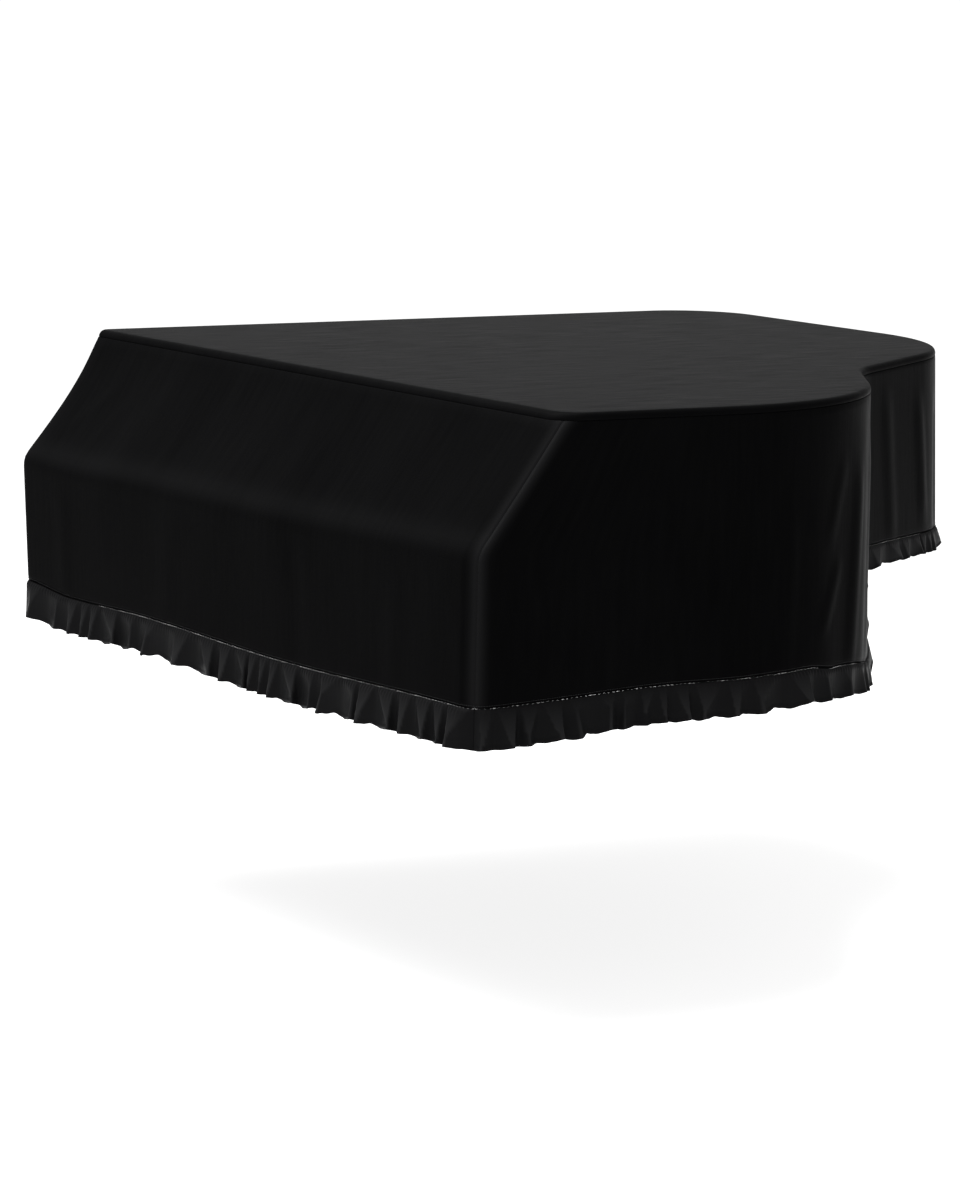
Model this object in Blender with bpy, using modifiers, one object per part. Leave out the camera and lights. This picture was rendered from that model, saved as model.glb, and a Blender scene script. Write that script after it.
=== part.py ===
"""A fitted dust cover for a small grand piano: black cloth, hollow, with a gathered ruffle.

The cover stands as it hangs on the closed piano, which isn't modelled: a flat top cut to the
lid, straight walls under it, a front that slopes out over the keyboard and then drops, and a
gathered ruffle along the whole hem. The keyboard faces -Y, the treble side is +X and +Z is up.
The origin lies on the underside of the top, where the lid carries it.

Run it with: blender --background --python part.py
"""

import math

import bmesh
import bpy
from mathutils import Vector

# ---- cloth and seams, in metres ----
CLOTH = 0.002
RUFFLE_CLOTH = 0.0015
SEAM_GAP = 0.0003

# ---- the top and its soft edge ----
TOP_EDGE = 0.010
TOP_EDGE_STEPS = 3
TOP_RIM = 0.0125

# ---- the front, which slopes out over the keyboard and then drops ----
# columns: its end, reach in front of the lid, level of the crease, sag of the slope, tuck at hem
FRONT = {
    "bass_front": (0.158, 0.502, 0.016, 0.012),
    "treble_front": (0.163, 0.470, 0.002, 0.000),
}
CREASE_SOFT = 0.035
WALL_LEVELS = (0.12, 0.24, 0.35, 0.43, 0.47, 0.502, 0.54, 0.66, 0.82, 1.0)

# ---- plan of the top, corner by corner, going round from the keyboard's bass end ----
# columns: corner, x, y, radius, flare at the hem, pieces in its arc (odd), in the run after it
PLAN = (
    ("bass_front", -0.770, -0.624, 0.022, 0.000, 5, 12),
    ("treble_front", 0.770, -0.620, 0.045, 0.000, 5, 6),
    ("bulge", 0.798, -0.010, 0.550, 0.026, 11, 4),
    ("hollow", 0.352, 0.282, 0.300, 0.010, 5, 4),
    ("tail_treble", 0.045, 0.765, 0.450, 0.018, 11, 8),
    ("tail_bass", -0.770, 0.765, 0.150, 0.000, 5, 14),
)

# ---- the hem: how far under the top the walls end, and how long the ruffle is ----
# columns: corner, share of the way from its middle to the next one's, wall drop, ruffle length
HEM = (
    ("bass_front", 0.00, 0.457, 0.064),
    ("bass_front", 0.12, 0.468, 0.062),
    ("bass_front", 0.30, 0.463, 0.062),
    ("bass_front", 0.60, 0.470, 0.064),
    ("treble_front", 0.00, 0.460, 0.066),
    ("treble_front", 0.45, 0.441, 0.059),
    ("treble_front", 0.85, 0.438, 0.056),
    ("bulge", 0.00, 0.447, 0.052),
    ("bulge", 0.55, 0.470, 0.046),
    ("hollow", 0.00, 0.318, 0.038),
    ("tail_treble", 0.00, 0.332, 0.036),
    ("tail_bass", 0.00, 0.335, 0.040),
    ("tail_bass", 0.50, 0.345, 0.044),
    ("tail_bass", 0.80, 0.448, 0.060),
    ("bass_front", 1.00, 0.457, 0.064),
)

# ---- soft folds in the walls ----
# columns: corner, share of the way to the next, half-width, depth, lean of its foot along the hem
SOFT_FOLDS = (
    ("treble_front", 0.10, 0.040, -0.003, 0.010),
    ("bulge", 0.05, 0.055, -0.004, 0.030),
    ("bulge", 0.27, 0.045, 0.004, -0.060),
    ("bulge", 0.50, 0.050, -0.004, -0.050),
    ("tail_treble", 0.02, 0.060, -0.005, 0.020),
    ("tail_treble", 0.45, 0.080, 0.004, -0.020),
    ("tail_bass", 0.30, 0.110, -0.004, 0.030),
    ("tail_bass", 0.75, 0.090, 0.004, -0.030),
)

# ---- the ruffle's folds along each stretch of hem ----
# columns: width, how far its foot stands out where the ruffle is longest, lean of its foot,
# drop of its leading lip
FRONT_FOLDS = (
    (0.100, 0.016, 0.000, 0.003),
    (0.075, 0.010, 0.004, 0.004),
    (0.053, 0.016, 0.000, 0.004),
    (0.037, 0.012, 0.002, 0.002),
    (0.040, 0.013, 0.003, 0.002),
    (0.073, 0.015, 0.012, 0.006),
    (0.075, 0.011, 0.006, 0.007),
    (0.102, 0.014, -0.008, 0.010),
    (0.110, 0.018, 0.000, 0.007),
    (0.068, 0.015, 0.012, 0.003),
    (0.064, 0.014, 0.000, 0.005),
    (0.046, 0.013, 0.012, 0.003),
    (0.035, 0.011, 0.004, 0.002),
    (0.035, 0.012, 0.002, 0.002),
    (0.040, 0.012, 0.000, 0.003),
    (0.060, 0.016, 0.014, 0.004),
    (0.070, 0.012, 0.008, 0.006),
    (0.070, 0.014, -0.010, 0.008),
    (0.055, 0.013, 0.004, 0.004),
    (0.055, 0.017, 0.000, 0.005),
    (0.062, 0.015, 0.012, 0.003),
    (0.058, 0.014, 0.002, 0.003),
    (0.051, 0.015, 0.008, 0.003),
    (0.044, 0.014, 0.006, 0.002),
    (0.062, 0.014, 0.000, 0.002),
)
TREBLE_FOLDS = (
    (0.030, 0.012, -0.002, 0.001),
    (0.042, 0.015, 0.003, 0.002),
    (0.038, 0.016, 0.006, 0.002),
    (0.040, 0.014, 0.005, 0.003),
    (0.050, 0.015, 0.010, 0.006),
    (0.046, 0.012, -0.006, 0.003),
    (0.038, 0.015, -0.007, 0.003),
    (0.028, 0.010, 0.003, 0.001),
    (0.026, 0.009, 0.003, 0.001),
    (0.042, 0.014, 0.008, 0.004),
    (0.054, 0.015, -0.008, 0.005),
    (0.048, 0.013, 0.000, 0.004),
    (0.072, 0.015, 0.010, 0.006),
    (0.083, 0.014, 0.012, 0.007),
    (0.073, 0.011, 0.004, 0.005),
    (0.077, 0.013, -0.006, 0.004),
    (0.069, 0.012, 0.002, 0.003),
    (0.064, 0.010, 0.002, 0.003),
    (0.060, 0.010, 0.003, 0.003),
)
# columns: place across one fold, how far out it is (-1 valley, 1 ridge), share of the lip's drop
FOLD_SHAPE = (
    (0.00, -1.0, 0.0),
    (0.24, 0.3, 1.0),
    (0.50, 1.0, 0.2),
    (0.76, 0.1, -1.0),
)
GATHER_DEPTH = 0.0012
RUFFLE_FLARE = 0.004
BEND_APART = 0.002

# ---- the pieces: panel or ruffle, the corners that it runs between, and its own folds ----
PANELS = (
    ("front_panel", "bass_front", "treble_front"),
    ("treble_panel", "treble_front", "tail_treble"),
    ("tail_panel", "tail_treble", "tail_bass"),
    ("bass_panel", "tail_bass", "bass_front"),
)
RUFFLES = (
    ("front_ruffle", "bass_front", "treble_front", FRONT_FOLDS),
    ("treble_ruffle", "treble_front", "tail_treble", TREBLE_FOLDS + FRONT_FOLDS[5:17]),
    ("tail_ruffle", "tail_treble", "tail_bass", FRONT_FOLDS[11:24]),
    ("bass_ruffle", "tail_bass", "bass_front", FRONT_FOLDS[::-1]),
)
CORNERS = tuple(row[0] for row in PLAN)
RUFFLE_LONGEST = max(row[3] for row in HEM)

# ---- colours, linear ----
BLACK_CLOTH = (0.012, 0.012, 0.013, 1.0)
RUFFLE_BLACK = (0.016, 0.016, 0.017, 1.0)


def clear_scene():
    for old in list(bpy.data.objects):
        bpy.data.objects.remove(old, do_unlink=True)


def material(name, colour, roughness):
    """A matt black cloth."""
    made = bpy.data.materials.new(name)
    made.use_nodes = True
    shader = made.node_tree.nodes["Principled BSDF"]
    shader.inputs["Base Color"].default_value = colour
    shader.inputs["Roughness"].default_value = roughness
    shader.inputs["Metallic"].default_value = 0.0
    return made


def arc(before, corner, after, radius, pieces):
    """The points of the arc that rounds one corner, from its start to its end."""
    back = (before - corner).normalized()
    ahead = (after - corner).normalized()
    half = back.angle(ahead) / 2
    middle = corner + (back + ahead).normalized() * radius / math.sin(half)
    start = corner + back * radius / math.tan(half) - middle
    end = corner + ahead * radius / math.tan(half) - middle
    first = math.atan2(start.y, start.x)
    turn = math.atan2(start.cross(end), start.dot(end))
    angles = (first + turn * i / pieces for i in range(pieces + 1))
    return [middle + radius * Vector((math.cos(a), math.sin(a))) for a in angles]


def key_reach(level, reach, crease, sag, tuck):
    """How far the front stands out before the lid's edge: a sagging slope, then a drop."""
    lead = level / crease
    before = level - crease + CREASE_SOFT
    if level >= crease + CREASE_SOFT:
        straight = 1.0
    elif before > 0:
        straight = lead - before**2 / (4 * CREASE_SOFT * crease)
    else:
        straight = lead
    hang = math.sin(math.pi * lead**0.85) if lead < 1 else 0.0
    below = max(lead - 1, 0.0) * crease / (1 - crease)
    return reach * straight - sag * hang - tuck * below


def plan_corners(level):
    """The walls' sharp corners at one level, 0 at the top and 1 at the hem, as 2-D points."""
    flat = [Vector((x, y)) for _, x, y, *_ in PLAN]
    middle = sum(flat, Vector((0.0, 0.0))) / len(flat)
    corners = []
    for (name, _, _, _, flare, _, _), point in zip(PLAN, flat):
        point = point + (point - middle).normalized() * flare * level
        if name in FRONT:
            point.y -= key_reach(level, *FRONT[name])
        corners.append(point)
    return corners


def plan_at(level):
    """The walls' outline at one level, with its corners rounded, as 2-D points."""
    corners = plan_corners(level)
    arcs = []
    for i, (_, _, _, radius, _, pieces, _) in enumerate(PLAN):
        after = corners[(i + 1) % len(PLAN)]
        arcs.append(arc(corners[i - 1], corners[i], after, radius, pieces))
    points = []
    for i, (*_, run) in enumerate(PLAN):
        arrive = arcs[(i + 1) % len(PLAN)][0]
        points += arcs[i]
        points += [arcs[i][-1].lerp(arrive, step / run) for step in range(1, run)]
    return points


def middle_facets():
    """For each corner, the number of the column just before the middle of its arc."""
    found, first = {}, 0
    for name, *_, pieces, run in PLAN:
        found[name] = first + pieces // 2
        first += pieces + run
    return found


def stations(ring, middles):
    """Each column's place round the cover: corner number plus the share of the way to the next."""
    count = len(ring)
    lengths = [(ring[(i + 1) % count] - ring[i]).length for i in range(count)]
    places = [0.0] * count
    for number, name in enumerate(CORNERS):
        start = middles[name]
        stop = middles[CORNERS[(number + 1) % len(CORNERS)]]
        span = (stop - start) % count
        total = lengths[start] / 2 + sum(lengths[(start + i) % count] for i in range(1, span))
        total += lengths[stop] / 2
        gone = lengths[start] / 2
        for i in range(1, span + 1):
            places[(start + i) % count] = number + gone / total
            gone += lengths[(start + i) % count]
    return places


def hem_at(place):
    """(wall drop, ruffle length) at a place round the cover, eased between the table's rows."""
    rows = [(CORNERS.index(name) + share, drop, length) for name, share, drop, length in HEM]
    rows[-1] = (len(CORNERS), *rows[-1][1:])
    for (a, drop_a, length_a), (b, drop_b, length_b) in zip(rows, rows[1:]):
        if a <= place <= b:
            ease = (1 - math.cos(math.pi * (place - a) / (b - a))) / 2
            return drop_a + (drop_b - drop_a) * ease, length_a + (length_b - length_a) * ease
    return rows[0][1:]


def normals_of(ring):
    """The outward direction at each point of a closed outline."""
    count = len(ring)
    found = []
    for i in range(count):
        along = ring[(i + 1) % count] - ring[i - 1]
        found.append(Vector((along.y, -along.x)).normalized())
    return found


class Cover:
    """The cover's outer surface, as columns round it and levels down it."""

    def __init__(self):
        self.top = plan_at(0.0)
        self.count = len(self.top)
        self.out = normals_of(self.top)
        self.middles = middle_facets()
        self.places = stations(self.top, self.middles)
        self.hems = [hem_at(place) for place in self.places]
        self.plans = {}

    def fold(self, column, level):
        """How far the soft folds push the wall out: nothing at the top, all of it near the hem."""
        push = 0.0
        for name, share, half_width, depth, lean in SOFT_FOLDS:
            number = CORNERS.index(name)
            length = (Vector(PLAN[number][1:3]) - Vector(PLAN[(number + 1) % len(PLAN)][1:3])).length
            away = (self.places[column] - number - share) * length - lean * level
            if abs(away) < 2 * half_width:
                shape = (1 + math.cos(math.pi * away / (2 * half_width))) / 2
                push += depth * shape * math.sin(math.pi / 2 * level)
        return push

    def wall(self, column, level):
        """A point on the wall, before the top's edge is softened."""
        if level not in self.plans:
            self.plans[level] = plan_at(level)
        flat = self.plans[level][column] + self.out[column] * self.fold(column, level)
        return Vector((*flat, CLOTH - self.hems[column][0] * level))

    def below(self, column, depth):
        """A point on the wall, a depth in metres under its top."""
        return self.wall(column, depth / self.hems[column][0])

    def edge(self, column, step):
        """A point on the soft edge between the top and a wall."""
        corner = self.wall(column, 0.0)
        down = (self.below(column, TOP_RIM) - corner).normalized() * TOP_EDGE
        inward = Vector((*-self.out[column], 0.0)) * TOP_EDGE
        share = step / TOP_EDGE_STEPS
        return corner + inward * (1 - share) ** 2 + down * share**2

    def stretch(self, first, last):
        """The columns from the middle of one corner's arc to the middle of another's, as
        (column, next column, share between them), with half a seam left at each end."""
        start, stop = self.middles[first], self.middles[last]
        span = (stop - start) % self.count
        half_seam = SEAM_GAP / 2

        def piece(i):
            return (self.top[(i + 1) % self.count] - self.top[i % self.count]).length

        columns = [(start, (start + 1) % self.count, 0.5 + half_seam / piece(start))]
        for i in range(1, span + 1):
            column = (start + i) % self.count
            columns.append((column, column, 0.0))
        columns.append((stop, (stop + 1) % self.count, 0.5 - half_seam / piece(stop)))
        return columns


def mesh_object(name, mesh_data, look, collection):
    mesh = bpy.data.meshes.new(name)
    mesh_data.to_mesh(mesh)
    mesh_data.free()
    mesh.shade_smooth()
    mesh.set_sharp_from_angle(angle=math.radians(40))
    mesh.materials.append(look)
    made = bpy.data.objects.new(name, mesh)
    collection.objects.link(made)
    return made


def thicken(sheet):
    """Makes an open sheet a solid cloth, its thickness on the inside."""
    solid = sheet.modifiers.new("cloth", "SOLIDIFY")
    solid.thickness = CLOTH
    solid.offset = -1.0


def grid(rows, closed):
    """A bmesh surface through rows of points, first row uppermost and running anticlockwise
    seen from above, so that its faces look out."""
    surface = bmesh.new()
    made = [[surface.verts.new(point) for point in row] for row in rows]
    for upper, lower in zip(made, made[1:]):
        for i in range(len(upper) if closed else len(upper) - 1):
            j = (i + 1) % len(upper)
            surface.faces.new((upper[i], lower[i], lower[j], upper[j]))
    return surface, made


def top_panel(cover, look, collection):
    """The flat top with its edge turned softly down all round."""
    rows = []
    for step in range(TOP_EDGE_STEPS + 1):
        rows.append([cover.edge(column, step) for column in range(cover.count)])
    rows.append([cover.below(column, TOP_RIM) for column in range(cover.count)])
    surface, made = grid(rows, closed=True)
    surface.faces.new(made[0])
    thicken(mesh_object("top_panel", surface, look, collection))


def wall_panel(cover, name, first, last, look, collection):
    """One wall, from just under the top's rim to the hem seam."""
    columns = cover.stretch(first, last)
    depth = TOP_RIM + SEAM_GAP
    rows = [[cover.below(a, depth).lerp(cover.below(b, depth), share) for a, b, share in columns]]
    for level in WALL_LEVELS:
        row = []
        for a, b, share in columns:
            row.append(cover.wall(a, level).lerp(cover.wall(b, level), share))
        rows.append(row)
    surface, _ = grid(rows, closed=False)
    thicken(mesh_object(name, surface, look, collection))


class Hem:
    """The seam line of one stretch of hem, measured along its length."""

    def __init__(self, cover, first, last):
        self.points, self.lengths = [], []
        for a, b, share in cover.stretch(first, last):
            seam = cover.wall(a, 1.0).lerp(cover.wall(b, 1.0), share)
            self.points.append(seam)
            self.lengths.append(cover.hems[a][1] + (cover.hems[b][1] - cover.hems[a][1]) * share)
        self.marks = [0.0]
        for a, b in zip(self.points, self.points[1:]):
            self.marks.append(self.marks[-1] + (b - a).to_2d().length)

    def at(self, distance):
        """(point on the seam, outward direction, ruffle length) at a distance along the hem."""
        distance = min(max(distance, 0.0), self.marks[-1])
        i = 0
        while i < len(self.marks) - 2 and self.marks[i + 1] < distance:
            i += 1
        share = (distance - self.marks[i]) / (self.marks[i + 1] - self.marks[i])
        here = self.points[i].lerp(self.points[i + 1], share)
        along = (self.points[i + 1] - self.points[i]).to_2d().normalized()
        out = Vector((along.y, -along.x))
        length = self.lengths[i] + (self.lengths[i + 1] - self.lengths[i]) * share
        return here, out, length


class Folds:
    """The folds of one ruffle, stretched to fill its length of hem."""

    def __init__(self, folds, length):
        stretch = length / sum(row[0] for row in folds)
        self.bends = []
        begin = 0.0
        for width, depth, lean, lip in folds:
            for place, wave, drop in FOLD_SHAPE:
                ridge = (1 + wave) / 2
                spot = begin + place * width * stretch
                self.bends.append((spot, wave, depth * ridge, lean * ridge, lip * drop / 2))
            begin += width * stretch
        self.bends.append((length, FOLD_SHAPE[0][1], 0.0, 0.0, 0.0))

    def places(self, seam_bends):
        """Where the ruffle bends along the hem: at its own folds, and where the seam bends."""
        own = [bend[0] for bend in self.bends]
        extra = [mark for mark in seam_bends if min(abs(mark - spot) for spot in own) > BEND_APART]
        return sorted(own + extra)

    def at(self, spot):
        """(wave, how far the foot stands out, lean of the foot, drop of the lip) at a place."""
        for a, b in zip(self.bends, self.bends[1:]):
            if spot <= b[0]:
                share = (spot - a[0]) / (b[0] - a[0])
                return tuple(low + (high - low) * share for low, high in zip(a[1:], b[1:]))
        return self.bends[-1][1:]


def ruffle_lines(hem, table):
    """The ruffle's middle surface, as its gathered top line and its hanging foot line."""
    folds = Folds(table, hem.marks[-1])
    tops, feet = [], []
    for spot in folds.places(hem.marks):
        wave, depth, lean, lip = folds.at(spot)
        here, out, length = hem.at(spot)
        foot, foot_out, _ = hem.at(spot + lean)
        top = here.to_2d() - out * (CLOTH / 2 - GATHER_DEPTH * wave)
        tops.append(Vector((*top, here.z - SEAM_GAP)))
        foot = foot.to_2d() + foot_out * (RUFFLE_FLARE - CLOTH / 2 + depth * length / RUFFLE_LONGEST)
        feet.append(Vector((*foot, here.z - SEAM_GAP - length - lip)))
    return tops, feet


def side_steps(line, first_out, last_out):
    """Half the ruffle's thickness, square to its line in plan at each of its points."""
    steps = []
    for i in range(len(line)):
        if i == 0:
            out = first_out
        elif i == len(line) - 1:
            out = last_out
        else:
            along = (line[i + 1] - line[i - 1]).to_2d()
            out = Vector((along.y, -along.x)).normalized()
        steps.append(Vector((*out, 0.0)) * RUFFLE_CLOTH / 2)
    return steps


def ruffle(cover, name, first, last, folds, look, collection):
    """One gathered length: a loft through four-cornered sections, one at each bend."""
    hem = Hem(cover, first, last)
    tops, feet = ruffle_lines(hem, folds)
    ends = hem.at(0.0)[1], hem.at(hem.marks[-1])[1]
    top_steps, foot_steps = side_steps(tops, *ends), side_steps(feet, *ends)
    solid = bmesh.new()
    rings = []
    for top, foot, top_step, foot_step in zip(tops, feet, top_steps, foot_steps):
        corners = (top + top_step, foot + foot_step, foot - foot_step, top - top_step)
        rings.append([solid.verts.new(corner) for corner in corners])
    for here, there in zip(rings, rings[1:]):
        for i in range(4):
            j = (i + 1) % 4
            solid.faces.new((here[i], here[j], there[j], there[i]))
    solid.faces.new(rings[0][::-1])
    solid.faces.new(rings[-1])
    bmesh.ops.triangulate(solid, faces=solid.faces)
    bmesh.ops.recalc_face_normals(solid, faces=solid.faces)
    mesh_object(name, solid, look, collection)


def build():
    clear_scene()
    collection = bpy.data.collections.new("grand_piano_cover")
    bpy.context.scene.collection.children.link(collection)
    cloth = material("black_cloth", BLACK_CLOTH, 0.85)
    ruffle_cloth = material("ruffle_cloth", RUFFLE_BLACK, 0.8)
    cover = Cover()
    top_panel(cover, cloth, collection)
    for name, first, last in PANELS:
        wall_panel(cover, name, first, last, cloth, collection)
    for name, first, last, folds in RUFFLES:
        ruffle(cover, name, first, last, folds, ruffle_cloth, collection)


build()
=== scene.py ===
"""The looks of the fitted grand piano cover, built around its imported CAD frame.

Every sheet of cloth repeats the shape functions of the CAD source at a finer step, and adds what
the solids leave out: drag folds, a gathered ruffle with pleat facets, rolled hems, stitches, and a
black napped cloth. Lengths are in metres, in the frame of the CAD.
"""

import math

import bmesh
import bpy
from mathutils import Matrix, Vector, noise


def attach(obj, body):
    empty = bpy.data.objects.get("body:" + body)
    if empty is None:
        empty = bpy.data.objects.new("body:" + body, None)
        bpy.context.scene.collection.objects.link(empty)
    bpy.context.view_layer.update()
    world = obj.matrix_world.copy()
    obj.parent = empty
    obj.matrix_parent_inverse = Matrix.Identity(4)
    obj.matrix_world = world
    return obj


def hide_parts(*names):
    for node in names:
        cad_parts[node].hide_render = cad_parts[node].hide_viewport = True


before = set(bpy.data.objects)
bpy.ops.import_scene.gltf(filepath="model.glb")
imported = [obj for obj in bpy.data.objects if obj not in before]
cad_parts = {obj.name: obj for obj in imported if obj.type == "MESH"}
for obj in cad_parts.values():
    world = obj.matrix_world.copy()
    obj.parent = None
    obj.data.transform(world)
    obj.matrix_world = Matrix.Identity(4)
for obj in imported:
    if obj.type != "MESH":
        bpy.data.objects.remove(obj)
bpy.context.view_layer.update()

# ---- cloth and seams ----
CLOTH = 0.002
RUFFLE_CLOTH = 0.0013
SEAM_GAP = 0.0003
# a cut edge turns in by CURL_IN, over the last CURL_REACH of its cloth, and has a row of points
# CURL_ROW away from it. At the corners it turns in by a share of that
CURL_IN = 0.0011
CURL_REACH = 0.0025
CURL_ROW = 0.0012
SIDE_CURL = 0.5

# ---- the top and its soft edge ----
TOP_EDGE = 0.010
TOP_EDGE_STEPS = 6
TOP_RIM = 0.0125
TOP_CENTRE = (-0.28, 0.02)
TOP_RINGS = 26
# the rings start a little way out from the centre and crowd towards the edge
RING_START = 0.35
RING_CROWDING = 0.8
# the faint unevenness of the top: height, bumps to the metre, slice of the noise, fade to the edge
TOP_SWELL = 0.0003
SWELL_SCALE = 3.1
SWELL_SLICE = 0.7
SWELL_FADE = 6

# ---- the front, which slopes out over the keyboard and then drops ----
# columns: its end, reach in front of the lid, level of the crease, sag of the slope, tuck at hem
FRONT = {
    "bass_front": (0.158, 0.502, 0.016, 0.012),
    "treble_front": (0.163, 0.470, 0.002, 0.000),
}
CREASE_SOFT = 0.035

# ---- plan of the top, corner by corner, going round from the keyboard's bass end ----
# columns: corner, x, y, radius, flare at the hem
PLAN = (
    ("bass_front", -0.770, -0.624, 0.022, 0.000),
    ("treble_front", 0.770, -0.620, 0.045, 0.000),
    ("bulge", 0.798, -0.010, 0.550, 0.026),
    ("hollow", 0.352, 0.282, 0.300, 0.010),
    ("tail_treble", 0.045, 0.765, 0.450, 0.018),
    ("tail_bass", -0.770, 0.765, 0.150, 0.000),
)
CORNERS = tuple(row[0] for row in PLAN)
ARC_STEP = 0.006
RUN_STEP = 0.011
LEVEL_STEPS = 44
# down to this level a wall is even
PLAIN_LEVEL = 0.06

# ---- the hem: how far under the top the walls end, and how long the ruffle is ----
# columns: corner, share of the way from its middle to the next one's, wall drop, ruffle length
HEM = (
    ("bass_front", 0.00, 0.457, 0.064),
    ("bass_front", 0.12, 0.468, 0.062),
    ("bass_front", 0.30, 0.463, 0.062),
    ("bass_front", 0.60, 0.470, 0.064),
    ("treble_front", 0.00, 0.460, 0.066),
    ("treble_front", 0.45, 0.441, 0.059),
    ("treble_front", 0.85, 0.438, 0.056),
    ("bulge", 0.00, 0.447, 0.052),
    ("bulge", 0.55, 0.470, 0.046),
    ("hollow", 0.00, 0.318, 0.038),
    ("tail_treble", 0.00, 0.332, 0.036),
    ("tail_bass", 0.00, 0.335, 0.040),
    ("tail_bass", 0.50, 0.345, 0.044),
    ("tail_bass", 0.80, 0.448, 0.060),
    ("bass_front", 1.00, 0.457, 0.064),
)

# ---- soft folds in the walls, the ones that the solids have ----
# columns: corner, share of the way to the next, half-width, depth, lean of its foot along the hem
SOFT_FOLDS = (
    ("treble_front", 0.10, 0.040, -0.003, 0.010),
    ("bulge", 0.05, 0.055, -0.004, 0.030),
    ("bulge", 0.27, 0.045, 0.004, -0.060),
    ("bulge", 0.50, 0.050, -0.004, -0.050),
    ("tail_treble", 0.02, 0.060, -0.005, 0.020),
    ("tail_treble", 0.45, 0.080, 0.004, -0.020),
    ("tail_bass", 0.30, 0.110, -0.004, 0.030),
    ("tail_bass", 0.75, 0.090, 0.004, -0.030),
)

# ---- drag folds and hanging folds that only the looks have, each along one line ----
# columns: corner, share and level where it starts, share and level where it ends, half-width,
# height (less than 0 is a trough)
DRAG_FOLDS = (
    # the slope: the pull down its bass end and up from the crease
    ("bass_front", 0.020, 0.00, 0.030, 0.46, 0.050, 0.0035),
    ("bass_front", 0.045, 0.40, 0.110, 0.20, 0.022, 0.0014),
    ("bass_front", 0.120, 0.44, 0.190, 0.10, 0.030, 0.0009),
    ("bass_front", 0.300, 0.46, 0.340, 0.05, 0.045, 0.0010),
    ("bass_front", 0.520, 0.45, 0.560, 0.10, 0.050, -0.0012),
    # the drop of the front
    ("bass_front", 0.100, 0.60, 0.105, 1.00, 0.040, 0.0010),
    ("bass_front", 0.360, 0.60, 0.350, 1.00, 0.050, 0.0010),
    ("bass_front", 0.640, 0.58, 0.650, 1.00, 0.045, -0.0010),
    ("bass_front", 0.850, 0.58, 0.845, 1.00, 0.040, 0.0010),
    # the treble side as far as the tail: hanging folds, and the pulls from the bulge
    ("treble_front", 0.110, 0.30, 0.120, 0.95, 0.030, 0.0010),
    ("treble_front", 0.400, 0.55, 0.410, 1.00, 0.030, 0.0012),
    ("treble_front", 0.600, 0.35, 0.590, 1.00, 0.034, 0.0020),
    ("treble_front", 0.760, 0.40, 0.750, 1.00, 0.032, 0.0026),
    ("bulge", 0.020, 0.62, -0.090, 0.86, 0.026, 0.0026),
    ("bulge", 0.060, 0.25, -0.050, 0.52, 0.030, 0.0018),
    ("bulge", 0.200, 0.30, 0.120, 1.00, 0.035, 0.0030),
    ("bulge", 0.420, 0.20, 0.360, 1.00, 0.040, 0.0030),
    ("bulge", 0.700, 0.25, 0.640, 1.00, 0.040, 0.0028),
    ("hollow", 0.250, 0.20, 0.300, 1.00, 0.040, 0.0028),
    ("hollow", 0.560, 0.25, 0.600, 0.90, 0.035, 0.0030),
    ("hollow", 0.800, 0.30, 0.780, 1.00, 0.040, -0.0028),
    # the tail
    ("tail_treble", 0.180, 0.20, 0.160, 1.00, 0.045, 0.0026),
    ("tail_treble", 0.560, 0.10, 0.600, 1.00, 0.050, 0.0024),
    ("tail_treble", 0.820, 0.20, 0.800, 1.00, 0.040, -0.0026),
    # the straight bass side
    ("tail_bass", 0.120, 0.15, 0.140, 1.00, 0.050, 0.0028),
    ("tail_bass", 0.220, 0.30, 0.215, 1.00, 0.035, -0.0022),
    ("tail_bass", 0.400, 0.20, 0.430, 1.00, 0.055, 0.0030),
    ("tail_bass", 0.560, 0.35, 0.600, 1.00, 0.045, 0.0026),
    ("tail_bass", 0.680, 0.20, 0.690, 1.00, 0.040, -0.0024),
    ("tail_bass", 0.860, 0.25, 0.880, 1.00, 0.045, 0.0026),
)
# a drag fold fades at its ends over this share of its length, and over no more than FOLD_END
FOLD_END_SHARE = 0.4
FOLD_END = 0.09
# above this level the drag folds fade out towards the top
DRAG_START = 0.08

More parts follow.
